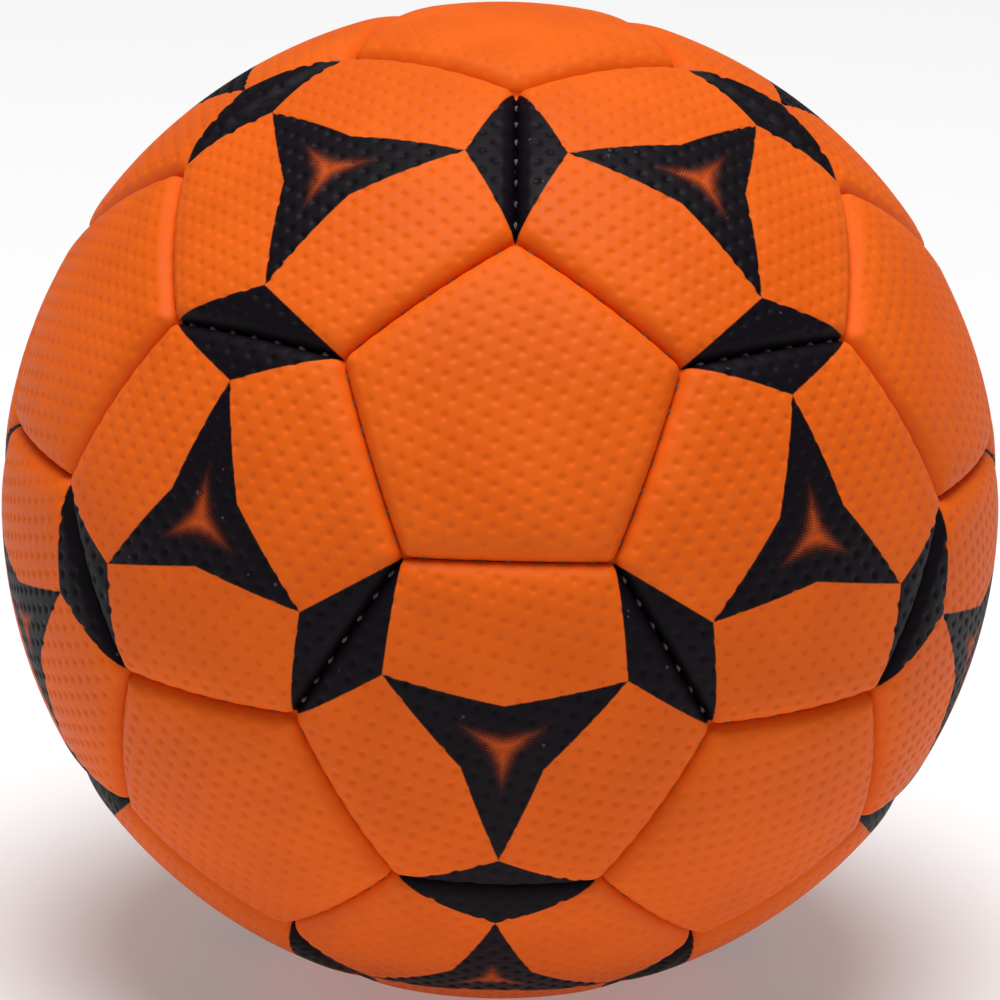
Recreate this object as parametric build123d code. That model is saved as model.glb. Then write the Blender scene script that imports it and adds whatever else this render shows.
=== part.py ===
from build123d import *
import math
import os

# A hand-stitched handball of 32 panels. Millimetres. The origin is the ball's centre, +Z runs through
# the middle of the top pentagon and the front pentagon faces -Y.

# Sizes of the cover
ball_circumference = 590.0
skin_thickness = 1.2
foam_thickness = 1.8
lining_thickness = 1.0
layer_clearance = 0.05
seam_gap = 0.2
edge_roll_radius = 2.4
corner_allowance = 0.6

# Sizes of the stitching
thread_thickness = 0.5
stitch_length = 1.4
stitch_clearance = 0.05
stitches_per_seam = 7

# Sizes of the bladder
bladder_thickness = 1.0
bladder_clearance = 0.15

# Sizes of the valve
needle_bore_diameter = 2.4
needle_bore_length = 12.0
core_wall = 1.2
core_foot = 4.0
core_head_overhang = 0.8
core_head_height = 1.6
core_head_round = 0.4
core_tip_round = 0.5
core_clearance = 0.05
slit_width = 0.4
slit_share = 0.7
boot_wall = 1.4
boot_flange_diameter = 28.0
boot_flange_thickness = 1.2
boot_sink = 0.9
boot_clearance = 0.2
boot_mouth_round = 0.5
valve_hole_round = 0.6
cut_overrun = 1.0

# Radii that follow from those sizes
ball_radius = ball_circumference / (2 * math.pi)
foam_radius = ball_radius - skin_thickness
lining_radius = foam_radius - foam_thickness
cover_inner_radius = lining_radius - lining_thickness
bladder_radius = cover_inner_radius - bladder_clearance
bladder_inner_radius = bladder_radius - bladder_thickness
corner_radius = edge_roll_radius + corner_allowance
half_gap = seam_gap / 2
stitch_reach = edge_roll_radius + thread_thickness / 2 + stitch_clearance
stitch_rise = math.sqrt(stitch_reach**2 - (edge_roll_radius + half_gap) ** 2)
stitch_depth = edge_roll_radius - stitch_rise
core_radius = needle_bore_diameter / 2 + core_wall
core_head_radius = core_radius + core_head_overhang
core_length = needle_bore_length + core_foot
boot_radius = core_head_radius + core_clearance + boot_wall
boot_top = ball_radius - boot_sink
valve_hole_radius = boot_radius + boot_clearance

# Directions of the twelve pentagons: top, upper ring, lower ring, bottom
TOP = Vector(0, 0, 1)
ring_rise_share = 1 / math.sqrt(5)
ring_reach_share = 2 * ring_rise_share
ring_step = 360 / 5
front_angle = -90


def ring_direction(angle, rise):
    """A pentagon's direction in the upper or the lower ring."""
    turn = math.radians(angle)
    return Vector(ring_reach_share * math.cos(turn), ring_reach_share * math.sin(turn), rise)


upper_ring = [ring_direction(front_angle + k * ring_step, ring_rise_share) for k in range(5)]
lower_ring = [ring_direction(front_angle + (k + 0.5) * ring_step, -ring_rise_share) for k in range(5)]
pentagon_axes = [TOP] + upper_ring + lower_ring + [-TOP]
valve_index = 8


def adjoin(i, j):
    """Whether two pentagons are the ends of one hexagon-to-hexagon seam."""
    return i != j and pentagon_axes[i].dot(pentagon_axes[j]) > 0


def seam_corner(i, j):
    """The corner of pentagon i that points to pentagon j."""
    return (pentagon_axes[i] * 2 + pentagon_axes[j]).normalized()


def pentagon_sides(i):
    """The seams round pentagon i, each as its two corners."""
    pairs = [(j, k) for j in neighbours[i] for k in neighbours[i] if j < k and adjoin(j, k)]
    return [(seam_corner(i, j), seam_corner(i, k)) for j, k in pairs]


neighbours = [[j for j in range(12) if adjoin(i, j)] for i in range(12)]
pentagon_seams = [pentagon_sides(i) for i in range(12)]
ridges = [(i, j) for i in range(12) for j in neighbours[i] if i < j]
triangles = [(i, j, k) for i, j in ridges for k in range(j + 1, 12) if adjoin(i, k) and adjoin(j, k)]
hexagon_axes = [sum((pentagon_axes[k] for k in trio), Vector()).normalized() for trio in triangles]


def panel_place(axis, corner):
    """Stands a panel's own +Z on its axis and its first corner over the given corner."""
    return Plane(origin=(0, 0, 0), x_dir=corner - axis * corner.dot(axis), z_dir=axis).location


pentagon_places = [panel_place(pentagon_axes[i], seam_corner(i, neighbours[i][0])) for i in range(12)]
hexagon_places = [panel_place(axis, seam_corner(i, j)) for axis, (i, j, k) in zip(hexagon_axes, triangles)]

# How steeply a panel's corners stand out from its axis
pentagon_lean_share = math.tan(pentagon_axes[0].get_angle(seam_corner(0, 1)) * math.pi / 180)
hexagon_lean_share = math.tan(hexagon_axes[0].get_angle(seam_corner(*triangles[0][:2])) * math.pi / 180)


def ball(radius):
    """A ball whose poles and seam line stay clear of +Z, where the panels are made."""
    return Rot(90, 0, 0) * Sphere(radius)


def side_plane(sides, lean_share, k, inset):
    """The plane along one side of a panel at +Z, moved in towards the panel's middle."""
    turn = math.radians((k + 0.5) * 360 / sides)
    slope = lean_share * math.cos(math.pi / sides)
    outward = Vector(math.cos(turn), math.sin(turn), -slope).normalized()
    return Plane(origin=outward * -inset, z_dir=outward)


def panel_block(sides, lean_share, outer, inner, inset, corner, roll):
    """One layer of a panel at +Z with rounded corners, its outer edge rolled over by the roll radius."""
    block = ball(outer) - ball(inner)
    for k in range(sides):
        block = split(block, bisect_by=side_plane(sides, lean_share, k, inset), keep=Keep.BOTTOM)
    block = fillet(block.edges().filter_by(GeomType.LINE), corner)
    if roll > 0:
        crown = block.faces().sort_by(SortBy.DISTANCE)[-1]
        block = fillet(crown.edges(), roll)
    return block


def stitch_places(start, end):
    """Planes of the stitches of one seam, lying between its two rolled edges, with z along the seam."""
    middle = (start + end).normalized()
    along = (end - start).normalized()
    step = math.radians(start.get_angle(end)) / stitches_per_seam
    places = []
    for k in range(stitches_per_seam):
        angle = (k - (stitches_per_seam - 1) / 2) * step
        outward = middle * math.cos(angle) + along * math.sin(angle)
        forward = along * math.cos(angle) - middle * math.sin(angle)
        place = Plane(origin=outward * (ball_radius - stitch_depth), x_dir=outward, z_dir=forward)
        places.append(place.location)
    return places


def skin_panel(sides, lean_share):
    """The outer skin: a shallow tray whose hems turn inward along the seams."""
    outer = panel_block(
        sides, lean_share, ball_radius, cover_inner_radius, half_gap, corner_radius, edge_roll_radius
    )
    pocket = panel_block(
        sides,
        lean_share,
        foam_radius,
        cover_inner_radius - skin_thickness,
        half_gap + skin_thickness,
        corner_radius - skin_thickness,
        edge_roll_radius - skin_thickness,
    )
    return outer - pocket


def pad(sides, lean_share, outer, inner, roll):
    """A layer that lies in a skin panel's tray."""
    inset = half_gap + skin_thickness + layer_clearance
    corner = corner_radius - skin_thickness - layer_clearance
    return panel_block(sides, lean_share, outer - layer_clearance, inner, inset, corner, roll)


def foam_pad(sides, lean_share):
    """The soft pad behind the skin, its edge rolled to fit inside the skin's own roll."""
    roll = edge_roll_radius - skin_thickness - layer_clearance
    return pad(sides, lean_share, foam_radius, lining_radius, roll)


def lining(sides, lean_share):
    """The cloth lining glued behind the foam, flush with the hems."""
    return pad(sides, lean_share, lining_radius, cover_inner_radius, 0)


def post(radius, bottom, top):
    """A round post on +Z between two heights."""
    return Pos(0, 0, bottom) * Cylinder(radius, top - bottom, align=(Align.CENTER, Align.CENTER, Align.MIN))


def rounded_top(rod, radius):
    """A post with its upper edge rounded."""
    return fillet(rod.edges().sort_by(Axis.Z)[-1], radius)


def rounded_bottom(rod, radius):
    """A post with its lower edge rounded."""
    return fillet(rod.edges().sort_by(Axis.Z)[0], radius)


def drilled(panel):
    """A panel layer with the hole for the valve through its middle."""
    return panel - post(valve_hole_radius, 0, ball_radius + cut_overrun)


def valve_panel_skin(skin):
    """The skin with the valve hole, its outer edge rounded."""
    holed = drilled(skin)
    circles = holed.edges().filter_by(GeomType.CIRCLE)
    rim = circles.filter_by(lambda edge: abs(edge.radius - valve_hole_radius) < boot_clearance)
    return fillet(rim.sort_by(Axis.Z)[-1], valve_hole_round)


def valve_boot():
    """The rubber boot: a barrel through the cover with a round flange bonded inside the bladder."""
    flange_top = bladder_inner_radius - layer_clearance
    flange = (ball(flange_top) - ball(flange_top - boot_flange_thickness)) & post(
        boot_flange_diameter / 2, 0, ball_radius
    )
    barrel = rounded_top(post(boot_radius, boot_top - core_length, boot_top), boot_mouth_round)
    stem_bore = post(core_radius + core_clearance, boot_top - core_length, boot_top)
    seat_bottom = boot_top - core_head_height - core_clearance
    head_seat = post(core_head_radius + core_clearance, seat_bottom, boot_top)
    return flange + barrel - stem_bore - head_seat


def valve_core():
    """The plug: a head, a stem with a blind needle bore, and a slit foot that closes by itself."""
    bottom = boot_top - core_length
    stem = rounded_bottom(post(core_radius, bottom, boot_top), core_tip_round)
    head = rounded_top(post(core_head_radius, boot_top - core_head_height, boot_top), core_head_round)
    bore = post(needle_bore_diameter / 2, boot_top - needle_bore_length, boot_top)
    slit = Pos(0, 0, bottom) * Box(2 * core_radius * slit_share, slit_width, core_foot,
                                   align=(Align.CENTER, Align.CENTER, Align.MIN))
    return stem + head - bore - slit


def bladder():
    """The hollow rubber bladder with its hole for the boot at +Z."""
    hole = post(boot_radius + layer_clearance, 0, ball_radius)
    return ball(bladder_radius) - ball(bladder_inner_radius) - hole


def save(name, solids):
    """Writes one node: a single solid, or several alike as one group."""
    shape = solids[0] if len(solids) == 1 else Compound(children=solids)
    export_step(shape, "parts/" + name + ".step")


os.makedirs("parts", exist_ok=True)

# Skins, foam pads and linings, each made once and set in place round the ball
pentagon_skin = skin_panel(5, pentagon_lean_share)
hexagon_skin = skin_panel(6, hexagon_lean_share)
valve_place = pentagon_places[valve_index]
plain_places = [place for k, place in enumerate(pentagon_places) if k != valve_index]
for k, place in enumerate(plain_places):
    save(f"pentagon_panel_{k + 1:02d}", [pentagon_skin.moved(place)])
save("valve_panel", [valve_panel_skin(pentagon_skin).moved(valve_place)])
for k, place in enumerate(hexagon_places):
    save(f"hexagon_panel_{k + 1:02d}", [hexagon_skin.moved(place)])

for name, layer in (("foam_pads", foam_pad), ("linings", lining)):
    five = layer(5, pentagon_lean_share)
    six = layer(6, hexagon_lean_share)
    with_hole = drilled(five).moved(valve_place)
    save("pentagon_" + name, [five.moved(place) for place in plain_places] + [with_hole])
    save("hexagon_" + name, [six.moved(place) for place in hexagon_places])

# Stitches round each pentagon, then along the seams between hexagons from the top of the ball down
stitch = Cylinder(thread_thickness / 2, stitch_length)
for k, seams in enumerate(pentagon_seams):
    places = [place for start, end in seams for place in stitch_places(start, end)]
    save(f"pentagon_stitching_{k + 1:02d}", [stitch.moved(place) for place in places])
belts = {"top": [], "upper": [], "middle": [], "lower": [], "bottom": []}
belt_rise_shares = {"top": 0.7, "upper": 0.3, "middle": -0.3, "lower": -0.7, "bottom": -1}
for i, j in ridges:
    rise_share = (seam_corner(i, j) + seam_corner(j, i)).normalized().Z
    belt = next(name for name, least_share in belt_rise_shares.items() if rise_share > least_share)
    belts[belt] += stitch_places(seam_corner(i, j), seam_corner(j, i))
for name, places in belts.items():
    save("hexagon_stitching_" + name, [stitch.moved(place) for place in places])

# Bladder and valve
save("bladder", [bladder().moved(valve_place)])
save("valve_boot", [valve_boot().moved(valve_place)])
save("valve_core", [valve_core().moved(valve_place)])
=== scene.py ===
# %% [markdown]
# # A stitched handball
# The real ball is a cover of 32 panels, twelve pentagons and twenty hexagons, cut from dimpled synthetic
# leather and sewn together by hand over foam pads, cloth linings and a rubber bladder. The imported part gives
# the frame: where every panel, stitch and valve piece lies. This script dresses that frame, piece by piece.

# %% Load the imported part
import math
import random

import bmesh
import bpy
import numpy as np
from mathutils import Matrix, Vector


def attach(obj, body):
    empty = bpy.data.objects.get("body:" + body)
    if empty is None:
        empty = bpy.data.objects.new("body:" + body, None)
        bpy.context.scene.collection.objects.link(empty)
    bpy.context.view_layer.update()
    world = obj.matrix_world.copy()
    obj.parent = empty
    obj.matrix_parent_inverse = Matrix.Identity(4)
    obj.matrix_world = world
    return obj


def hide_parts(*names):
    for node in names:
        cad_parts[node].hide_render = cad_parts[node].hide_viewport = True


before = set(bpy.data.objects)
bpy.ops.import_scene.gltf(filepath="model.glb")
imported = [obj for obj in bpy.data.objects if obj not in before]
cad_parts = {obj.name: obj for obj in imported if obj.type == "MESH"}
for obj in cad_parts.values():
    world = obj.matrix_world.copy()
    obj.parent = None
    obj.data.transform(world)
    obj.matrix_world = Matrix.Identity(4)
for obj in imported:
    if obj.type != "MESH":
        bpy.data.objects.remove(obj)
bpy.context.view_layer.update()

# %% [markdown]
# ## Sizes
# The panels are modelled in millimetres, because a seam is easier to think about that way, and each mesh is
# brought to metres when it is set in place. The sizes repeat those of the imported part.

# %% Sizes in millimetres
MM = 0.001
BALL_RADIUS = 590.0 / (2 * math.pi)
SKIN, FOAM, LINING = 1.2, 1.8, 1.0
COVER = SKIN + FOAM + LINING
LAYER_CLEARANCE = 0.05
HALF_GAP = 0.1
EDGE_ROLL = 2.4
STITCHES = 7
STITCHED_SHARE = 0.94
print("ball radius", round(BALL_RADIUS, 3), "mm, cover", COVER, "mm")

# %% [markdown]
# ## Where the panels are
# The middles of the pentagons are the corners of an icosahedron: one on top, two rings of five, one below.
# Three pentagons that stand next to each other have a hexagon between them. A frame for each panel, made of
# three directions, is all that is needed to set a copy of one panel anywhere on the ball.

# %% Directions of the panels
RISE = 1 / math.sqrt(5)


def ring_direction(angle, rise):
    turn = math.radians(angle)
    return Vector((2 * RISE * math.cos(turn), 2 * RISE * math.sin(turn), rise))


TOP = Vector((0, 0, 1))
pentagons = (
    [TOP]
    + [ring_direction(-90 + 72 * k, RISE) for k in range(5)]
    + [ring_direction(-54 + 72 * k, -RISE) for k in range(5)]
    + [-TOP]
)


def adjoin(i, j):
    return i != j and pentagons[i].dot(pentagons[j]) > 0


def seam_corner(i, j):
    """The corner of pentagon i that points to pentagon j."""
    return (2 * pentagons[i] + pentagons[j]).normalized()


neighbours = [[j for j in range(12) if adjoin(i, j)] for i in range(12)]
ridges = [(i, j) for i in range(12) for j in neighbours[i] if i < j]
hexagons = [(i, j, k) for i, j in ridges for k in range(j + 1, 12) if adjoin(i, k) and adjoin(j, k)]


def hexagon_way(trio):
    """The direction of the hexagon between three pentagons."""
    return sum((pentagons[i] for i in trio), Vector()).normalized()


def standing(axis, towards):
    """A turn that stands +Z on the axis, with +X leaning towards a direction."""
    side = (towards - axis * axis.dot(towards)).normalized()
    return Matrix((side, axis.cross(side), axis)).transposed().to_4x4()


print(len(pentagons), "pentagons", len(hexagons), "hexagons", len(ridges), "seams between hexagons")

# %% [markdown]
# ## A panel
# A panel is a flat polygon of sheet bent over the ball. Its edge rolls over and runs down into the seam, and
# its face is pressed with a square pattern of small round pits for grip. A plain sphere cut into pieces would
# have neither. Here a polygon is subdivided into a fine regular net, every ring of the net is bent to its
# place, and the pits are pressed in by moving vertices, so that they are true geometry. The rim is then
# extruded into the hem and the underside, and closed.

# %% The net of a panel
LEAN = {5: math.tan(pentagons[0].angle(seam_corner(0, 1)))}
LEAN[6] = math.tan(hexagon_way(hexagons[0]).angle(seam_corner(*hexagons[0][:2])))
FIRST_CORNER = {5: 0.0, 6: math.radians(-30)}
CORNER_SHARPNESS = {5: 3.3, 6: 4.8}


def panel_net(sides, rows):
    """A flat polygon with its corners at a distance of 1, divided into even triangles."""
    bm = bmesh.new()
    bmesh.ops.create_circle(bm, cap_ends=True, cap_tris=True, segments=sides, radius=1.0)
    rim = next(v.co for v in bm.verts if v.co.length > 0.5)
    turn = FIRST_CORNER[sides] - math.atan2(rim.y, rim.x)
    bmesh.ops.rotate(bm, verts=bm.verts, cent=(0, 0, 0), matrix=Matrix.Rotation(turn, 3, "Z"))
    bmesh.ops.subdivide_edges(bm, edges=bm.edges[:], cuts=rows - 1, use_grid_fill=True)
    return bm


def side_turns(sides):
    """The directions in which the sides of a panel face."""
    return FIRST_CORNER[sides] + (np.arange(sides) + 0.5) * 2 * np.pi / sides


def ring_share(flat, sides):
    """How far each point lies from the panel's middle, 0, to its side, 1."""
    turns = side_turns(sides)
    outward = np.stack([np.cos(turns), np.sin(turns)])
    return (flat @ outward).max(1) / math.cos(math.pi / sides)


print("corner distances as tangents:", {sides: round(lean, 4) for sides, lean in LEAN.items()})

# %% [markdown]
# ## The relief of a sewn panel
# A sewn panel isn't an even piece of sphere. Its face is slightly crowned, because the seams hold its edge
# down. Each stitch pulls the edge in a little at its place, and pits for grip are pressed into the face. All
# three are worked out here as small drops below the round ball, at points given by their directions.

# %% Crown, pucker and pits
PILLOW_DROP, PILLOW_WIDTH = 0.85, 8.0
PUCKER_DROP, PUCKER_WIDTH = 0.22, 1.7
PIT_PITCH, PIT_RADIUS, PIT_DEPTH = 3.32, 1.12, 0.42
PIT_TURN = {5: math.radians(63.5), 6: math.radians(15)}
PLAIN_EDGE, EDGE_FADE, HOLE_FADE = 0.6, 2.0, 3.0


def smooth_step(x):
    x = np.clip(x, 0, 1)
    return x * x * (3 - 2 * x)


def dressing(way, distance, turns, sides, radius, hole):
    """The small drops of a sewn panel, from the distances of its points to its sides."""
    nearest = distance.argmin(1)
    near = distance.min(1)
    crown = PILLOW_DROP * (1 - smooth_step(near / PILLOW_WIDTH)) ** 2
    side_way = np.stack([-np.sin(turns), np.cos(turns), np.zeros(sides)])
    along = np.arcsin((way @ side_way)[np.arange(len(way)), nearest])
    seam = seam_corner(0, 1).angle(seam_corner(1, 0))
    pull = 0.5 + 0.5 * np.cos(2 * np.pi * along * STITCHES / (STITCHED_SHARE * seam))
    pucker = PUCKER_DROP * pull * np.exp(-((near / PUCKER_WIDTH) ** 2))
    lean = np.arccos(way[:, 2]) * radius
    turn = np.arctan2(way[:, 1], way[:, 0]) - PIT_TURN[sides]
    grid = np.stack([lean * np.cos(turn), lean * np.sin(turn)], 1) / PIT_PITCH
    off = np.linalg.norm(grid - np.round(grid), axis=1) * PIT_PITCH
    pit = PIT_DEPTH * np.maximum(1 - (off / PIT_RADIUS) ** 2, 0) ** 2
    pit *= smooth_step((near - PLAIN_EDGE) / EDGE_FADE)
    if hole:
        pit *= smooth_step((lean - hole * radius) / HOLE_FADE)
    return crown + pucker + pit


print("pits", PIT_PITCH, "mm apart,", PIT_DEPTH, "mm deep")

# %% [markdown]
# ## Bending the net
# The sheet keeps its length as it goes round the rolled edge, so the rings are spaced evenly along that
# curve. Near a corner two edges roll at once, and a power mean of both makes the rounded corner of a sewn
# panel. Where a panel has a hole, the rings next to it change from the panel's shape to a circle.

# %% Bend a net over the ball
HOLE_BLEND = 0.3
LEAST = 1e-9


def ring_spread(share, lean, radius, inset, roll):
    """How far out the rings lie, as tangents, when the sheet runs evenly over the rolled edge."""
    quarter = roll * math.pi / 2
    width = radius * math.sin(lean) - inset + quarter - roll
    along = (1 - share) * width
    if roll:
        rolled = roll * (1 - np.cos(np.minimum(along, quarter) / roll))
    else:
        rolled = 0.0
    from_side = inset + rolled + np.maximum(along - quarter, 0)
    return np.tan(lean - np.arcsin(from_side / radius))


def round_hole(flat, share, spread, hole):
    """Draws the rings next to a hole into circles."""
    reach = np.linalg.norm(flat, axis=1)
    keep = smooth_step((share - share.min()) / HOLE_BLEND)
    ring = spread * hole / spread.min()
    return flat * (keep + (1 - keep) * ring / np.maximum(reach, LEAST))[:, None]


def bend(flat, sides, radius, inset, roll, dressed, hole=0.0):
    """Lays flat points on the ball: millimetres from its centre, +Z through the panel's middle."""
    slope = LEAN[sides] * math.cos(math.pi / sides)
    share = ring_share(flat, sides)
    spread = ring_spread(share, math.atan(slope), radius, inset, roll)
    flat = flat * (spread / np.maximum(share * math.cos(math.pi / sides), LEAST))[:, None]
    if hole:
        flat = round_hole(flat, share, spread, hole)
    way = np.concatenate([flat, np.ones((len(flat), 1))], 1)
    way /= np.linalg.norm(way, axis=1)[:, None]
    turns = side_turns(sides)
    tilt = math.hypot(1, slope)
    side = np.stack([np.cos(turns), np.sin(turns), np.full(sides, -slope)]) / tilt
    distance = np.maximum(-radius * (way @ side) - inset, 0)
    drop = np.zeros(len(flat))
    if roll:
        over = np.maximum(roll - distance, 0) ** CORNER_SHARPNESS[sides]
        over = np.minimum(over.sum(1) ** (1 / CORNER_SHARPNESS[sides]), roll)
        drop = roll - np.sqrt(roll**2 - over**2)
    if dressed:
        drop = drop + dressing(way, distance, turns, sides, radius, hole)
    return way * (radius - drop)[:, None]


print("rolled edges and round holes ready")

# %% [markdown]
# ## Hem and underside
# The rim of the bent net is extruded step by step: down the hem, across its foot, up inside it, and in
# under the face to the middle. Every step only draws the new rim in towards the panel's middle and sets it
# at a new distance from the ball's centre. The flat shape of the panel is kept as a UV map for the print.

# %% Close a panel
MOUTH_REACH = 0.15
UNDER_SHARES = (0.62, 0.5)


def sink(bm, rim, share, radius):
    """Extrudes a rim, draws it in by the share and sets it at a radius."""
    made = bmesh.ops.extrude_edge_only(bm, edges=rim)["geom"]
    for v in (g for g in made if isinstance(g, bmesh.types.BMVert)):
        way = Vector((v.co.x / v.co.z * share, v.co.y / v.co.z * share, 1)).normalized()
        v.co = way * radius
    return [g for g in made if isinstance(g, bmesh.types.BMEdge) and g.is_boundary]


def rims(bm, reach):
    """The boundary edges further from the panel's axis than a reach, and those nearer to it."""
    rim = [e for e in bm.edges if e.is_boundary]
    outer = [e for e in rim if e.verts[0].co.xy.length > reach]
    return outer, [e for e in rim if e not in outer]


def open_middle(bm, sides, rows, hole):
    """Takes out the rings of a net that a hole will cut away."""
    start = math.floor(hole / (LEAN[sides] * math.cos(math.pi / sides)) * rows)
    shares = ring_share(np.array([v.co.xy for v in bm.verts]), sides)
    inner = [v for v, share in zip(bm.verts, shares) if share < (start - 0.5) / rows]
    bmesh.ops.delete(bm, geom=inner, context="VERTS")


def map_print(mesh, sides):
    """Gives a mesh the flat shape of its panel as a UV map, 1 at the corners."""
    places = np.zeros(len(mesh.vertices) * 3)
    mesh.vertices.foreach_get("co", places)
    places = places.reshape(-1, 3)
    corners = np.zeros(len(mesh.loops), int)
    mesh.loops.foreach_get("vertex_index", corners)
    print_map = mesh.uv_layers.new(name="print_map")
    print_map.data.foreach_set("uv", (places[:, :2] / places[:, 2:] / LEAN[sides])[corners].ravel())


def panel_mesh(name, sides, rows, radius, inset, roll, steps, dressed=False, hole=0.0, hole_steps=()):
    """One layer of a panel at +Z, closed all round, with a map of its flat shape for printing."""
    bm = panel_net(sides, rows)
    if hole:
        open_middle(bm, sides, rows, hole)
    flat = np.array([v.co.xy for v in bm.verts])
    for v, place in zip(bm.verts, bend(flat, sides, radius, inset, roll, dressed, hole)):
        v.co = place
    edge, mouth = rims(bm, radius * MOUTH_REACH)
    for share, level in steps:
        edge = sink(bm, edge, share, level)
    for share, level in hole_steps:
        mouth = sink(bm, mouth, share, level)
    if mouth:
        bmesh.ops.bridge_loops(bm, edges=edge + mouth)
    else:
        rest = list(dict.fromkeys(v for e in edge for v in e.verts))
        middle = sum((v.co for v in rest), Vector()) / len(rest)
        bmesh.ops.pointmerge(bm, verts=rest, merge_co=middle.normalized() * steps[-1][1])
    bmesh.ops.recalc_face_normals(bm, faces=bm.faces)
    mesh = bpy.data.meshes.new(name)
    bm.to_mesh(mesh)
    bm.free()
    map_print(mesh, sides)
    mesh.polygons.foreach_set("use_smooth", np.ones(len(mesh.polygons), bool))
    print(name, len(mesh.polygons), "faces")
    return mesh


def under_steps(side_width, floor_radius, inner_radius):
    """Down a hem as thick as the skin, then in under the face."""
    hem = 1 - SKIN / side_width
    turned_in = [
        (1.0, inner_radius),
        (hem, inner_radius),
        (hem, floor_radius - 0.5 * SKIN),
        (hem, floor_radius),
    ]
    return turned_in + [(share, floor_radius) for share in UNDER_SHARES]


print("steps under a face:", len(UNDER_SHARES))

# %% [markdown]
# ## Three skins
# Only three skins are made: a hexagon, a pentagon, and the pentagon with the hole for the valve. The thread
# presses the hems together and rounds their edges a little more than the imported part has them.

# %% Make the skins
SIDE_WIDTH = {n: BALL_RADIUS * LEAN[n] * math.cos(math.pi / n) for n in (5, 6)}
UNDERSIDE = BALL_RADIUS - SKIN
INNER = BALL_RADIUS - COVER
VALVE_HOLE = 4.85
HOLE_ROUND = 0.6
ROWS = {5: 70, 6: 88}
SEWN_ROLL = 2.8
PRESSED_GAP = 0.02
ROUND_SINK = 0.3

skins = {
    n: panel_mesh(f"skin_{n}", n, ROWS[n], BALL_RADIUS, PRESSED_GAP, SEWN_ROLL,
                  under_steps(SIDE_WIDTH[n], UNDERSIDE, INNER), dressed=True)
    for n in (5, 6)
}
hole_turn_in = VALVE_HOLE / (VALVE_HOLE + HOLE_ROUND)
valve_skin = panel_mesh(
    "skin_valve", 5, ROWS[5], BALL_RADIUS, PRESSED_GAP, SEWN_ROLL,
    under_steps(SIDE_WIDTH[5], UNDERSIDE, INNER), dressed=True, hole=(VALVE_HOLE + HOLE_ROUND) / BALL_RADIUS,
    hole_steps=[
        ((1 + 2 * hole_turn_in) / 3, BALL_RADIUS - ROUND_SINK * HOLE_ROUND),
        (3 * hole_turn_in / (1 + 2 * hole_turn_in), BALL_RADIUS - HOLE_ROUND),
        (1.0, UNDERSIDE),
    ],
)

# %% [markdown]
# ## Node helpers
# Materials are built from nodes. A few helpers keep that readable: they add a node and fill its inputs, do
# arithmetic on sockets or plain numbers, mix colours, and start a node group or a material.

# %% Node helpers
def node(tree, kind, inputs=None, **settings):
    made = tree.nodes.new(kind)
    for key, value in settings.items():
        setattr(made, key, value)
    for key, value in (inputs or {}).items():
        fill(tree, made.inputs[key], value)
    return made


def fill(tree, socket, value):
    if isinstance(value, bpy.types.NodeSocket):
        tree.links.new(value, socket)
    else:
        socket.default_value = value


def maths(tree, operation, *values):
    made = tree.nodes.new("ShaderNodeMath")
    made.operation = operation
    for socket, value in zip(made.inputs, values):
        fill(tree, socket, value)
    return made.outputs[0]


def between(tree, value, low, high, to_low=0.0, to_high=1.0):
    """A smooth change from one value to another as the input goes from low to high."""
    limits = {"Value": value, "From Min": low, "From Max": high, "To Min": to_low, "To Max": to_high}
    made = node(tree, "ShaderNodeMapRange", limits, interpolation_type="SMOOTHSTEP")
    return made.outputs["Result"]


def mix_colours(tree, share, first, second):
    made = node(tree, "ShaderNodeMix", data_type="RGBA")
    fill(tree, made.inputs["Factor"], share)
    fill(tree, made.inputs["A"], first)
    fill(tree, made.inputs["B"], second)
    return made.outputs["Result"]


def new_group(name, inputs, outputs):
    group = bpy.data.node_groups.new(name, "ShaderNodeTree")
    for label, kind in inputs:
        group.interface.new_socket(label, in_out="INPUT", socket_type=kind)
    for label, kind in outputs:
        group.interface.new_socket(label, in_out="OUTPUT", socket_type=kind)
    return group, node(group, "NodeGroupInput"), node(group, "NodeGroupOutput")


def new_material(name, **values):
    """An empty Principled material. Values that are the same all over are set on its own sockets."""
    made = bpy.data.materials.new(name)
    made.use_nodes = True
    surface = made.node_tree.nodes["Principled BSDF"]
    for key, value in values.items():
        surface.inputs[key.replace("_", " ")].default_value = value
    return made, made.node_tree, surface


def emboss(tree, surface, height, strength, depth):
    """Feeds a height to the surface as bumps of a depth in metres."""
    bump = node(tree, "ShaderNodeBump", {"Height": height, "Strength": strength, "Distance": depth})
    tree.links.new(bump.outputs["Normal"], surface.inputs["Normal"])


print("node helpers ready")

# %% [markdown]
# ## Grain
# Under the pits the synthetic leather has a fine pebble grain, its colour is never quite even, and specks of
# lint cling to it. All come from textures on Object coordinates, so they keep their real size wherever a
# panel lies. Skins and rubber share this group with different sizes.

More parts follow.
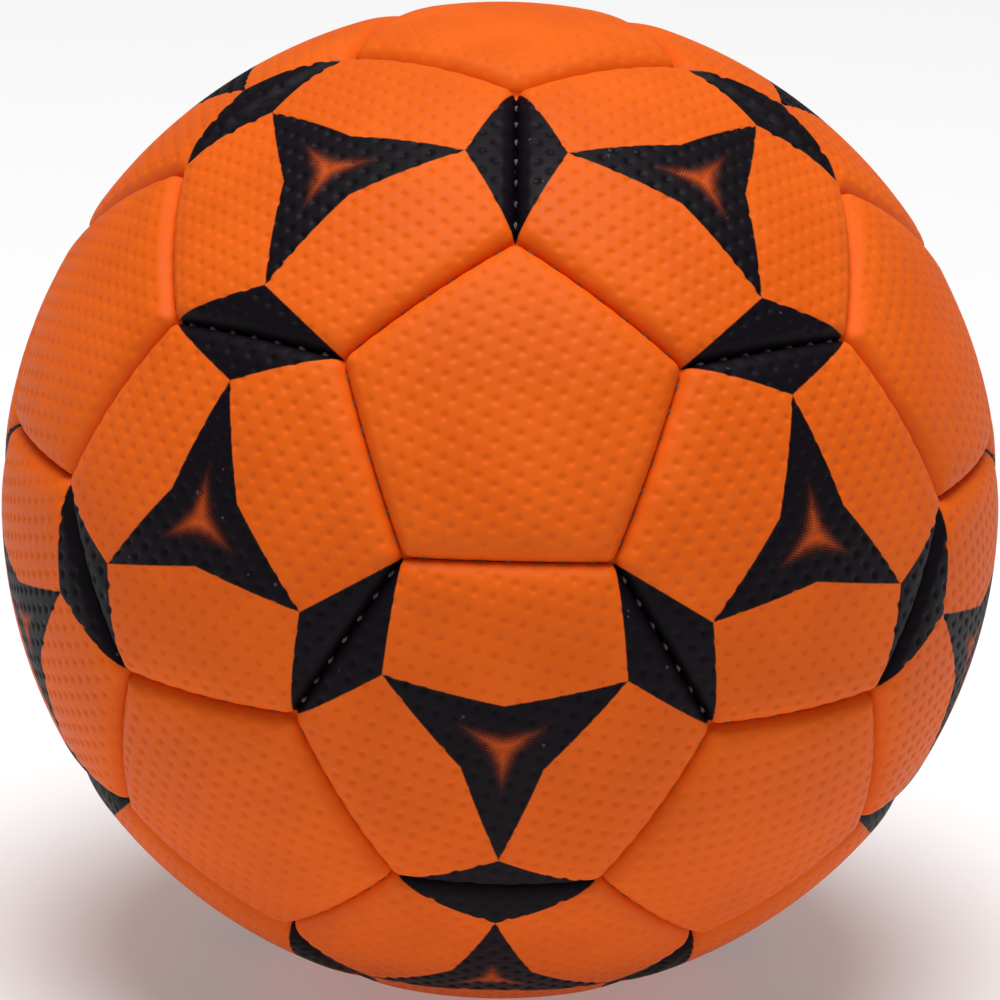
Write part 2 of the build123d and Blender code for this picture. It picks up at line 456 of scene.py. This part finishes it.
# %% The grain group
PEBBLE_SMOOTHNESS, PEBBLE_WEIGHT = 0.6, -0.6
LINT_SCALE, LINT_RARITY, LINT_SIZE = 420.0, 0.7, 0.15
grain, grain_in, grain_out = new_group(
    "fine_grain",
    [("Scale", "NodeSocketFloat"), ("Cloud Scale", "NodeSocketFloat")],
    [("Height", "NodeSocketFloat"), ("Cloud", "NodeSocketFloat"), ("Specks", "NodeSocketFloat")],
)
place = node(grain, "ShaderNodeTexCoord").outputs["Object"]
fine, coarse = grain_in.outputs["Scale"], grain_in.outputs["Cloud Scale"]
pebbles = node(grain, "ShaderNodeTexVoronoi", {"Vector": place, "Scale": fine}, feature="SMOOTH_F1")
pebbles.inputs["Smoothness"].default_value = PEBBLE_SMOOTHNESS
ripple = node(grain, "ShaderNodeTexNoise", {"Vector": place, "Scale": fine, "Detail": 3.0})
cloud = node(grain, "ShaderNodeTexNoise", {"Vector": place, "Scale": coarse, "Detail": 4.0})
height = maths(grain, "MULTIPLY_ADD", pebbles.outputs["Distance"], PEBBLE_WEIGHT, ripple.outputs["Fac"])
grain.links.new(height, grain_out.inputs["Height"])
grain.links.new(cloud.outputs["Fac"], grain_out.inputs["Cloud"])
lint = node(grain, "ShaderNodeTexVoronoi", {"Vector": place, "Scale": LINT_SCALE})
lot = node(grain, "ShaderNodeSeparateColor", {"Color": lint.outputs["Color"]}).outputs[0]
lint_size = between(grain, lot, LINT_RARITY, 1.0, 0.0, LINT_SIZE)
specks = maths(grain, "LESS_THAN", lint.outputs["Distance"], lint_size)
grain.links.new(specks, grain_out.inputs["Specks"])
print("grain group:", len(grain.nodes), "nodes")

# %% [markdown]
# ## The print
# Each hexagon carries a black three-pointed star whose tips meet black diamonds laid along the seams to its
# neighbouring hexagons, a plain geometric ornament that follows the panels. Three mirror lines run through
# it, so the map is folded into one sixth of the panel. There every edge of the print is one straight line,
# and the ink is whatever lies on one side of it. The middle of the star glows orange through a screen of fine
# dots. Lengths are shares of the hexagon's corner distance.

# %% The print group
TIP_SHARE, WAIST_SHARE = 0.622, 0.204
GLOW_TIP_SHARE, GLOW_WAIST_SHARE = 0.205, 0.065
GLOW_FADE_OUT, GLOW_FADE_IN = 0.05, -0.082
EDGE_SHARE = 0.004
RAGGED_SCALE, RAGGED_SHARE = 90.0, 0.005
DOT_SHARE, DOT_WEIGHT = 0.0165, 0.28
SIXTH = math.radians(60)


def line_through(start, end):
    """The unit normal of a line and its distance from the middle, with the middle on the low side."""
    run = Vector(end) - Vector(start)
    normal = Vector((run.y, -run.x)).normalized()
    offset = normal.dot(Vector(start))
    return (normal, offset) if offset > 0 else (-normal, -offset)


def beyond(tree, x, y, start, end):
    """How far a point lies past the line, away from the middle."""
    normal, offset = line_through(start, end)
    part = maths(tree, "MULTIPLY_ADD", x, normal.x, -offset)
    return maths(tree, "MULTIPLY_ADD", y, normal.y, part)


def star_line(tip, waist):
    """A side of the star in the folded map, from a tip to the waist between two tips."""
    return (tip, 0.0), (waist * math.cos(SIXTH), waist * math.sin(SIXTH))


printing, printing_in, printing_out = new_group(
    "star_and_diamond",
    [("Map", "NodeSocketVector")],
    [("Ink", "NodeSocketFloat"), ("Glow", "NodeSocketFloat")],
)
flat_map = printing_in.outputs["Map"]
ragged = node(printing, "ShaderNodeTexNoise", {"Vector": flat_map, "Scale": RAGGED_SCALE, "Detail": 2.0})
ragged = maths(printing, "MULTIPLY_ADD", ragged.outputs["Fac"], RAGGED_SHARE, -RAGGED_SHARE / 2)
flat_x, flat_y = node(printing, "ShaderNodeSeparateXYZ", {"Vector": flat_map}).outputs[:2]
reach = node(printing, "ShaderNodeVectorMath", {0: flat_map}, operation="LENGTH").outputs["Value"]
turn = maths(printing, "SUBTRACT", maths(printing, "ARCTAN2", flat_y, flat_x), SIXTH)
fold = maths(printing, "PINGPONG", turn, SIXTH)
fold_x = maths(printing, "MULTIPLY", reach, maths(printing, "COSINE", fold))
fold_y = maths(printing, "MULTIPLY", reach, maths(printing, "SINE", fold))
past_star = beyond(printing, fold_x, fold_y, *star_line(TIP_SHARE, WAIST_SHARE))
past_star = maths(printing, "ADD", past_star, ragged)
hexagon_corner = (math.cos(SIXTH / 2), math.sin(SIXTH / 2))
past_diamond = beyond(printing, fold_x, fold_y, (TIP_SHARE, 0.0), hexagon_corner)
past_diamond = maths(printing, "ADD", past_diamond, ragged)
star = between(printing, past_star, EDGE_SHARE, -EDGE_SHARE)
diamond = between(printing, past_diamond, -EDGE_SHARE, EDGE_SHARE)
printing.links.new(maths(printing, "MAXIMUM", star, diamond), printing_out.inputs["Ink"])

past_glow = beyond(printing, fold_x, fold_y, *star_line(GLOW_TIP_SHARE, GLOW_WAIST_SHARE))
glow = between(printing, past_glow, GLOW_FADE_OUT, GLOW_FADE_IN)
dot_step = 2 * math.pi / DOT_SHARE
dots = maths(printing, "MULTIPLY", maths(printing, "SINE", maths(printing, "MULTIPLY", flat_x, dot_step)),
             maths(printing, "SINE", maths(printing, "MULTIPLY", flat_y, dot_step)))
dotted = maths(printing, "MULTIPLY_ADD", dots, DOT_WEIGHT, glow)
glow = maths(printing, "MULTIPLY", between(printing, dotted, 0.1, 1.0), glow)
printing.links.new(glow, printing_out.inputs["Glow"])
print("print group:", len(printing.nodes), "nodes")

# %% [markdown]
# ## Skin materials
# Synthetic leather is a soft satin plastic: the colour sits in the sheet, the ink lies on it and is a little
# duller. Roughness follows the cloud of the grain, so the light breaks up slightly over a panel.

# %% Plain and printed skin
ORANGE = (0.81, 0.125, 0.006, 1)
DEEP_ORANGE = (0.75, 0.111, 0.0045, 1)
INK = (0.0032, 0.0012, 0.0038, 1)
GLOW_ORANGE = (0.62, 0.085, 0.008, 1)
LINT = (0.05, 0.05, 0.06, 1)
SKIN_GRAIN = {"Scale": 2600.0, "Cloud Scale": 55.0}
SKIN_SPECULAR = 0.11
SKIN_ROUGHNESS = (0.5, 0.58)
INK_DULLING = 0.02
SKIN_BUMP, SKIN_BUMP_DEPTH = 0.28, 0.00006


def skin_material(name, printed):
    made, tree, surface = new_material(name, Specular_IOR_Level=SKIN_SPECULAR)
    texture = node(tree, "ShaderNodeGroup", SKIN_GRAIN, node_tree=grain)
    cloud = texture.outputs["Cloud"]
    colour = mix_colours(tree, between(tree, cloud, 0.35, 0.65), DEEP_ORANGE, ORANGE)
    rough = between(tree, cloud, 0.3, 0.7, *SKIN_ROUGHNESS)
    if printed:
        sheet_map = node(tree, "ShaderNodeUVMap", uv_map="print_map").outputs["UV"]
        stamp = node(tree, "ShaderNodeGroup", {"Map": sheet_map}, node_tree=printing)
        ink = mix_colours(tree, texture.outputs["Specks"], INK, LINT)
        ink = mix_colours(tree, stamp.outputs["Glow"], ink, GLOW_ORANGE)
        colour = mix_colours(tree, stamp.outputs["Ink"], colour, ink)
        rough = maths(tree, "MULTIPLY_ADD", stamp.outputs["Ink"], INK_DULLING, rough)
    tree.links.new(colour, surface.inputs["Base Color"])
    tree.links.new(rough, surface.inputs["Roughness"])
    emboss(tree, surface, texture.outputs["Height"], SKIN_BUMP, SKIN_BUMP_DEPTH)
    return made


plain_skin = skin_material("plain_skin", False)
printed_skin = skin_material("printed_skin", True)
print("skins:", plain_skin.name, printed_skin.name)

# %% [markdown]
# ## Setting the skins
# Each skin mesh is copied, turned about its own middle, stood on its axis and brought to metres. The turns
# about the middle are whole steps of the panel's own symmetry: the outline and the print stay, while the
# pits run another way, as they do on panels cut from the sheet in any direction.

# %% Set every skin in place
def set_piece(name, mesh, material, cad_node):
    """Makes an object of a mesh, which rides with the ball and takes the place of a node of the part."""
    made = bpy.data.objects.new(name, mesh)
    bpy.context.scene.collection.objects.link(made)
    made.data.materials.append(material)
    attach(made, "ball")
    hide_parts(cad_node)
    return made


def placed_copy(mesh, axis, towards, turn=0.0):
    """A copy of a panel's mesh, stood on its axis and brought to metres."""
    made = mesh.copy()
    made.transform(Matrix.Scale(MM, 4) @ standing(axis, towards) @ Matrix.Rotation(turn, 4, "Z"))
    return made


VALVE_PENTAGON = 8
order = [i for i in range(12) if i != VALVE_PENTAGON]
for count, i in enumerate(order, 1):
    turn = math.radians(72 * (2 * (i - 1) % 5))
    mesh = placed_copy(skins[5], pentagons[i], seam_corner(i, neighbours[i][0]), turn)
    panel = f"pentagon_panel_{count:02d}"
    set_piece(f"pentagon_skin_{count:02d}", mesh, plain_skin, panel)
towards = seam_corner(VALVE_PENTAGON, neighbours[VALVE_PENTAGON][0])
mesh = placed_copy(valve_skin, pentagons[VALVE_PENTAGON], towards)
set_piece("valve_skin", mesh, plain_skin, "valve_panel")
for count, (i, j, k) in enumerate(hexagons, 1):
    turn = math.radians(0 if (j + k) % 2 else 240)
    mesh = placed_copy(skins[6], hexagon_way((i, j, k)), pentagons[i], turn)
    panel = f"hexagon_panel_{count:02d}"
    set_piece(f"hexagon_skin_{count:02d}", mesh, printed_skin, panel)
print("skins set:", len(order) + 1 + len(hexagons))

# %% [markdown]
# ## Stitches
# Every seam is sewn with waxed thread. Two strands pass through each pair of holes, so a stitch shows as
# two short strands side by side, lying almost along the valley between the rolled edges and diving into it
# at both ends. One stitch of a few faces is modelled and copied along all the seams, with a little
# unevenness from a seeded random source.

# %% One stitch
THREAD_RADIUS = 0.19
STRAND_OFFSET = 0.205
STRAND_LENGTH = 1.5
STRAND_BOW = 0.4
STRAND_SLANT = math.radians(14)
STITCH_DEPTH = 2.85


def stitch_mesh():
    """A stitch along +X: two strands side by side, bowed down at both ends and then slanted."""
    bm = bmesh.new()
    bm.loops.layers.uv.new("strand_map")
    for side in (-1, 1):
        lay = Matrix.Translation((0, side * STRAND_OFFSET, 0)) @ Matrix.Rotation(math.pi / 2, 4, "Y")
        bmesh.ops.create_cone(bm, cap_ends=True, segments=6, radius1=THREAD_RADIUS, radius2=THREAD_RADIUS,
                              depth=STRAND_LENGTH, calc_uvs=True, matrix=lay)
    long_edges = [e for e in bm.edges if abs(e.verts[0].co.x - e.verts[1].co.x) > STRAND_LENGTH / 2]
    bmesh.ops.subdivide_edges(bm, edges=long_edges, cuts=3)
    for v in bm.verts:
        v.co.z -= STRAND_BOW * (2 * v.co.x / STRAND_LENGTH) ** 2
    slant = Matrix.Rotation(STRAND_SLANT, 3, "Z")
    bmesh.ops.rotate(bm, verts=bm.verts, cent=(0, 0, 0), matrix=slant)
    mesh = bpy.data.meshes.new("stitch")
    bm.to_mesh(mesh)
    bm.free()
    mesh.polygons.foreach_set("use_smooth", np.ones(len(mesh.polygons), bool))
    return mesh


stitch = stitch_mesh()
print("stitch:", len(stitch.polygons), "faces")

# %% Sew the seams
uneven = random.Random(32)
STEP_SLIP, TURN_SLIP, DEPTH_SLIP = 0.04, 0.15, 0.12


def stitch_places(start, end):
    """Turns and places of the stitches of one seam, in millimetres."""
    middle = (start + end).normalized()
    along = (end - start).normalized()
    step = STITCHED_SHARE * start.angle(end) / STITCHES
    for k in range(STITCHES):
        angle = (k - (STITCHES - 1) / 2 + uneven.uniform(-STEP_SLIP, STEP_SLIP)) * step
        outward = middle * math.cos(angle) + along * math.sin(angle)
        forward = along * math.cos(angle) - middle * math.sin(angle)
        lay = Matrix((forward, outward.cross(forward), outward)).transposed().to_4x4()
        lay = lay @ Matrix.Rotation(uneven.uniform(-TURN_SLIP, TURN_SLIP), 4, "Z")
        depth = STITCH_DEPTH + uneven.uniform(0, DEPTH_SLIP)
        yield Matrix.Translation(outward * (BALL_RADIUS - depth)) @ lay


def sew(seams):
    """One mesh of all the stitches of some seams, in metres."""
    bm = bmesh.new()
    for start, end in seams:
        for lay in stitch_places(start, end):
            before = len(bm.verts)
            bm.from_mesh(stitch)
            bm.verts.ensure_lookup_table()
            bmesh.ops.transform(bm, matrix=Matrix.Scale(MM, 4) @ lay, verts=bm.verts[before:])
    mesh = bpy.data.meshes.new("stitches")
    bm.to_mesh(mesh)
    bm.free()
    return mesh


print("stitches on a seam:", STITCHES)

# %% [markdown]
# ## Thread
# Waxed polyester thread was off-white once and is soiled by now, with the twist of its plies showing as fine
# slanting ridges. The twist is a wave on the strand's own map, so it follows each strand, and it darkens the
# colour in bands: painted shade in the grooves between the plies. The thread comes in two colourings of one
# material that differ by the light round them. In the black seams between hexagons it is darker and grey:
# painted shade of the dark seam. Round the pentagons it is tinted orange: a painted reflection of the orange
# edges beside it.

# %% Thread materials
THREAD_SPECULAR = 0.15
TWIST_SCALE, SOIL_SCALE = 9.0, 160.0
PLY_SHADE = 0.35
# Grey thread colours: darkened as painted shade of the dark seams between the black-printed hexagons.
PALE_THREAD, PALE_SOILED = (0.26, 0.23, 0.2, 1), (0.14, 0.12, 0.1, 1)
# Orange-tinted thread colours: painted reflection of orange light bounced onto the thread from the pentagon
# edges.
ORANGE_LIT_THREAD, ORANGE_LIT_SOILED = (0.34, 0.18, 0.11, 1), (0.18, 0.092, 0.053, 1)


def thread_material(name, pale, soiled):
    made, tree, surface = new_material(name, Specular_IOR_Level=THREAD_SPECULAR)
    strand = node(tree, "ShaderNodeUVMap", uv_map="strand_map").outputs["UV"]
    wave = {"Vector": strand, "Scale": TWIST_SCALE}
    ply = node(tree, "ShaderNodeTexWave", wave, bands_direction="DIAGONAL").outputs["Fac"]
    place = node(tree, "ShaderNodeTexCoord").outputs["Object"]
    patches = node(tree, "ShaderNodeTexNoise", {"Vector": place, "Scale": SOIL_SCALE, "Detail": 3.0})
    soil = patches.outputs["Fac"]
    colour = mix_colours(tree, between(tree, soil, 0.35, 0.7), pale, soiled)
    # The ply wave darkens the colour towards the soiled one: painted shade in the grooves between the plies.
    colour = mix_colours(tree, maths(tree, "MULTIPLY", ply, PLY_SHADE), colour, soiled)
    tree.links.new(colour, surface.inputs["Base Color"])
    tree.links.new(between(tree, soil, 0.2, 0.8, 0.5, 0.75), surface.inputs["Roughness"])
    emboss(tree, surface, ply, 0.6, 0.00005)
    return made


# This copy's darker grey is painted shade of the black seams.
thread = thread_material("waxed_thread", PALE_THREAD, PALE_SOILED)
# This copy's orange tint is painted reflection from the orange edges of the pentagon seams.
orange_lit_thread = thread_material("orange_lit_thread", ORANGE_LIT_THREAD, ORANGE_LIT_SOILED)
print("threads:", thread.name, orange_lit_thread.name)

# %% Set the stitching in place
# The pentagon seams get the thread with the painted orange reflection.
for i in range(12):
    pairs = [(j, k) for j in neighbours[i] for k in neighbours[i] if j < k and adjoin(j, k)]
    mesh = sew([(seam_corner(i, j), seam_corner(i, k)) for j, k in pairs])
    name = f"pentagon_stitching_{i + 1:02d}"
    set_piece(f"pentagon_thread_{i + 1:02d}", mesh, orange_lit_thread, name)
BELT_RISES = {"top": 0.7, "upper": 0.3, "middle": -0.3, "lower": -0.7, "bottom": -1.0}
belts = {belt: [] for belt in BELT_RISES}
for i, j in ridges:
    rise = (seam_corner(i, j) + seam_corner(j, i)).normalized().z
    belt = next(belt for belt, least in BELT_RISES.items() if rise > least)
    belts[belt].append((seam_corner(i, j), seam_corner(j, i)))
# The seams between hexagons get the thread darkened as painted shade.
for belt, seams in belts.items():
    set_piece(f"hexagon_thread_{belt}", sew(seams), thread, f"hexagon_stitching_{belt}")
print("seams sewn:", sum(map(len, belts.values())), "between hexagons and 5 round each pentagon")

# %% [markdown]
# ## Foam and lining
# Behind every skin lies a pad of soft foam, and behind the foam a glued cloth lining that keeps the panel
# from stretching. Both are domed like the panel and lie inside its hem. They are made with the same bent net
# as the skins, only coarser and without pits, because nobody sees them until the ball is opened.

# %% Foam and lining materials
FOAM_CELLS, WEAVE_SCALE = 1500.0, 19.0
# The darker hollow colour of the foam is painted shade inside its open cells.
SHADED_CELL_HOLLOW, CELL_WALL = (0.42, 0.41, 0.38, 1), (0.66, 0.64, 0.58, 1)
# The darker hollow colour of the lining is painted shade in the gaps between its yarns.
SHADED_WEAVE_HOLLOW, WEAVE_YARN = (0.34, 0.32, 0.28, 1), (0.72, 0.69, 0.62, 1)

foam, foam_tree, foam_surface = new_material("soft_foam", Roughness=0.9, Specular_IOR_Level=0.2)
foam_place = node(foam_tree, "ShaderNodeTexCoord").outputs["Object"]
cells = node(foam_tree, "ShaderNodeTexVoronoi", {"Vector": foam_place, "Scale": FOAM_CELLS})
cells = cells.outputs["Distance"]
# Darker towards the middle of each cell: painted shade in the foam's hollows.
foam_colour = mix_colours(foam_tree, between(foam_tree, cells, 0.1, 0.7), SHADED_CELL_HOLLOW, CELL_WALL)
foam_tree.links.new(foam_colour, foam_surface.inputs["Base Color"])
emboss(foam_tree, foam_surface, cells, 0.5, 0.0002)

cloth, cloth_tree, cloth_surface = new_material("woven_lining", Roughness=0.85, Specular_IOR_Level=0.2)
cloth_map = node(cloth_tree, "ShaderNodeUVMap", uv_map="print_map").outputs["UV"]
warp = node(cloth_tree, "ShaderNodeTexWave", {"Vector": cloth_map, "Scale": WEAVE_SCALE}, bands_direction="X")
weft = node(cloth_tree, "ShaderNodeTexWave", {"Vector": cloth_map, "Scale": WEAVE_SCALE}, bands_direction="Y")
weave = maths(cloth_tree, "MAXIMUM", warp.outputs["Fac"], weft.outputs["Fac"])
# Darker between the yarns: painted shade in the gaps of the weave.
cloth_colour = mix_colours(cloth_tree, weave, SHADED_WEAVE_HOLLOW, WEAVE_YARN)
cloth_tree.links.new(cloth_colour, cloth_surface.inputs["Base Color"])
emboss(cloth_tree, cloth_surface, weave, 0.5, 0.0001)
print("inner layers:", foam.name, cloth.name)

# %% Set the foam and the linings
INNER_INSET = HALF_GAP + SKIN + LAYER_CLEARANCE
INNER_ROWS = 14
INNER_TURN_IN = 0.6
FOAM_TOP = BALL_RADIUS - SKIN - LAYER_CLEARANCE
LINING_TOP = BALL_RADIUS - SKIN - FOAM - LAYER_CLEARANCE


def layer_mesh(name, sides, top, bottom, roll, hole=0.0):
    """A plain layer of a panel between two radii."""
    mouth = [(1.0, bottom)] if hole else []
    steps = [(1.0, bottom), (INNER_TURN_IN, bottom)]
    return panel_mesh(name, sides, INNER_ROWS, top, INNER_INSET, roll, steps,
                      hole=hole / top, hole_steps=mouth)


def joined(name, meshes):
    """One mesh of several, which stay separate shells."""
    bm = bmesh.new()
    for mesh in meshes:
        bm.from_mesh(mesh)
    made = bpy.data.meshes.new(name)
    bm.to_mesh(made)
    bm.free()
    return made


def lay_everywhere(name, sides, top, bottom, roll):
    """One layer behind all the panels of a shape, with the valve hole where the valve is."""
    mesh = layer_mesh(name, sides, top, bottom, roll)
    if sides == 6:
        return joined(name, [placed_copy(mesh, hexagon_way(trio), pentagons[trio[0]]) for trio in hexagons])
    holed = layer_mesh(name, 5, top, bottom, roll, VALVE_HOLE)
    return joined(name, [
        placed_copy(holed if i == VALVE_PENTAGON else mesh, pentagons[i], seam_corner(i, neighbours[i][0]))
        for i in range(12)
    ])


FOAM_ROLL = EDGE_ROLL - SKIN - LAYER_CLEARANCE
for sides, shape in ((5, "pentagon"), (6, "hexagon")):
    pads = lay_everywhere(f"{shape}_pads", sides, FOAM_TOP, FOAM_TOP + LAYER_CLEARANCE - FOAM, FOAM_ROLL)
    set_piece(f"{shape}_pads", pads, foam, f"{shape}_foam_pads")
    sheets = lay_everywhere(f"{shape}_cloths", sides, LINING_TOP, INNER, 0.0)
    set_piece(f"{shape}_cloths", sheets, cloth, f"{shape}_linings")

# %% [markdown]
# ## Bladder and valve
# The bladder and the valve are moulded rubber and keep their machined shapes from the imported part, so they
# only get a material: a matt, faintly mottled rubber with a fine moulded grain.

# %% Rubber
RUBBER_GRAIN = {"Scale": 1800.0, "Cloud Scale": 120.0}
RUBBER_SPECULAR = 0.4
RUBBER_ROUGHNESS = (0.5, 0.66)


def rubber(name, dark, light):
    made, tree, surface = new_material(name, Specular_IOR_Level=RUBBER_SPECULAR)
    texture = node(tree, "ShaderNodeGroup", RUBBER_GRAIN, node_tree=grain)
    cloud = texture.outputs["Cloud"]
    colour = mix_colours(tree, between(tree, cloud, 0.35, 0.65), dark, light)
    tree.links.new(colour, surface.inputs["Base Color"])
    tree.links.new(between(tree, cloud, 0.3, 0.7, *RUBBER_ROUGHNESS), surface.inputs["Roughness"])
    emboss(tree, surface, texture.outputs["Height"], 0.3, 0.00008)
    return made


bladder_rubber = rubber("bladder_rubber_look", (0.02, 0.018, 0.017, 1), (0.034, 0.031, 0.029, 1))
boot_rubber = rubber("boot_rubber_look", (0.012, 0.011, 0.011, 1), (0.022, 0.02, 0.02, 1))
core_rubber = rubber("core_rubber_look", (0.055, 0.05, 0.047, 1), (0.085, 0.08, 0.074, 1))
for name, look in (("bladder", bladder_rubber), ("valve_boot", boot_rubber), ("valve_core", core_rubber)):
    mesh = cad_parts[name].data
    mesh.materials.clear()
    mesh.materials.append(look)
    print(name, "is", look.name)

# %% [markdown]
# ## Floor, light and camera
# A plain pale floor, one broad lamp overhead and an even pale sky give the soft light of a product picture.
# The floor glows a little, which keeps the shadow light, and far away the sky looks as pale as the floor, so
# no horizon shows. The camera stands in front, a little above the middle of the ball, with a long lens.

# %% Floor
FLOOR_REACH = 30.0
FLOOR_PALENESS, FLOOR_GLOW = 0.72, 0.22

floor_mesh = bpy.data.meshes.new("floor")
bm = bmesh.new()
bmesh.ops.create_grid(bm, x_segments=1, y_segments=1, size=FLOOR_REACH)
bmesh.ops.translate(bm, verts=bm.verts, vec=(0, 0, -BALL_RADIUS * MM))
bm.to_mesh(floor_mesh)
bm.free()
floor = bpy.data.objects.new("floor", floor_mesh)
bpy.context.scene.collection.objects.link(floor)
floor_material = new_material(
    "pale_floor", Base_Color=(FLOOR_PALENESS, FLOOR_PALENESS, FLOOR_PALENESS, 1), Roughness=0.9,
    Specular_IOR_Level=0.1, Emission_Color=(1, 1, 1, 1), Emission_Strength=FLOOR_GLOW,
)[0]
floor_mesh.materials.append(floor_material)
print("floor", round(-BALL_RADIUS, 1), "mm below the ball's centre")

# %% Light
SKY_LIGHT = 0.19
SKY_SEEN = FLOOR_PALENESS * SKY_LIGHT + FLOOR_GLOW
LAMP_PLACE = Vector((0.0, -0.45, 3.25))
LAMP_SIZE, LAMP_POWER = 2.3, 122.5

world = bpy.data.worlds.new("pale_sky")
bpy.context.scene.world = world
world.use_nodes = True
sky = world.node_tree.nodes["Background"]
sky.inputs["Color"].default_value = (1, 1, 1, 1)
seen = node(world.node_tree, "ShaderNodeLightPath").outputs["Is Camera Ray"]
strength = maths(world.node_tree, "MULTIPLY_ADD", seen, SKY_SEEN - SKY_LIGHT, SKY_LIGHT)
world.node_tree.links.new(strength, sky.inputs["Strength"])

lamp_data = bpy.data.lights.new("overhead", "AREA")
lamp_data.shape = "DISK"
lamp_data.size = LAMP_SIZE
lamp_data.energy = LAMP_POWER
lamp = bpy.data.objects.new("overhead", lamp_data)
bpy.context.scene.collection.objects.link(lamp)
lamp.location = LAMP_PLACE
lamp.rotation_mode = "QUATERNION"
lamp.rotation_quaternion = (-LAMP_PLACE).to_track_quat("-Z", "Y")
bpy.context.scene.view_settings.view_transform = "Standard"
print("lamp", LAMP_SIZE, "m across,", LAMP_PLACE.z, "m up")

# %% Camera
CAMERA_AZIMUTH, CAMERA_ELEVATION, CAMERA_ROLL = math.radians(-1.17), math.radians(16.85), math.radians(1.79)
CAMERA_RADII = 12.0
CAMERA_DISTANCE = CAMERA_RADII * BALL_RADIUS * MM
LIMB_PIXELS, FRAME_PIXELS, SENSOR = 498.5, 1000, 36.0
FARTHEST = 100.0
focal_pixels = LIMB_PIXELS * math.sqrt(CAMERA_RADII**2 - 1)
back = Vector((
    math.sin(CAMERA_AZIMUTH) * math.cos(CAMERA_ELEVATION),
    -math.cos(CAMERA_AZIMUTH) * math.cos(CAMERA_ELEVATION),
    math.sin(CAMERA_ELEVATION),
))
level_right = Vector((math.cos(CAMERA_AZIMUTH), math.sin(CAMERA_AZIMUTH), 0))
right = Matrix.Rotation(CAMERA_ROLL, 3, back) @ level_right
camera_data = bpy.data.cameras.new("camera")
camera_data.sensor_width = SENSOR
camera_data.lens = focal_pixels * SENSOR / FRAME_PIXELS
camera_data.clip_end = FARTHEST
camera = bpy.data.objects.new("camera", camera_data)
bpy.context.scene.collection.objects.link(camera)
camera_turn = Matrix((right, back.cross(right), back)).transposed().to_4x4()
camera.matrix_world = Matrix.Translation(back * CAMERA_DISTANCE) @ camera_turn
bpy.context.scene.camera = camera
print("lens", round(camera_data.lens, 1), "mm at", round(CAMERA_DISTANCE, 3), "m")
